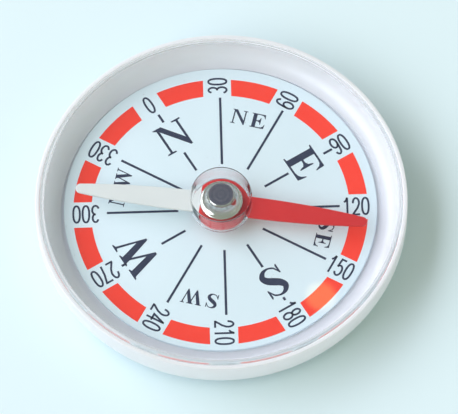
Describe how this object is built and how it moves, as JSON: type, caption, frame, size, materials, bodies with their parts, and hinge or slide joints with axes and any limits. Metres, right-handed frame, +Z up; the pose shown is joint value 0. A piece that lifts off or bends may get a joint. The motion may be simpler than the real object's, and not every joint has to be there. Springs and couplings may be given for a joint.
{
  "type": "magnetic compass",
  "caption": "Round pocket compass: white moulded case, printed bearing dial, painted needle with a clear collar turning on a steel point under a clear domed cover.",
  "frame": {"origin": "centre of the case's underside, on the plane that it rests on", "axes": "+Z up along the pivot, +Y towards the 0 and N marks of the dial, +X towards the 90 and E marks"},
  "size_m": [0.045, 0.045, 0.0085],
  "materials": {
    "white_plastic": "white moulded polystyrene, satin gloss",
    "dial_card": "printed white card",
    "pin_steel": "ground steel",
    "clear_plastic": "clear polished plastic",
    "needle_paint": "spring steel, one half red and one half white enamel",
    "cap_metal": "polished nickel plate",
    "jewel_glass": "polished bearing jewel"
  },
  "bodies": {
    "case": {"case_base": "white_plastic", "dial_card": "dial_card", "pivot_pin": "pin_steel", "cover_lens": "clear_plastic"},
    "needle": {"needle_blade": "needle_paint", "hub_collar": "clear_plastic", "bearing_cap": "cap_metal", "bearing_jewel": "jewel_glass"}
  },
  "joints": [
    {"name": "needle_spin", "type": "hinge", "parent": "case", "child": "needle", "pos_m": [0, 0, 0.0055], "axis": [0, 0, 1], "continuous": true}
  ]
}
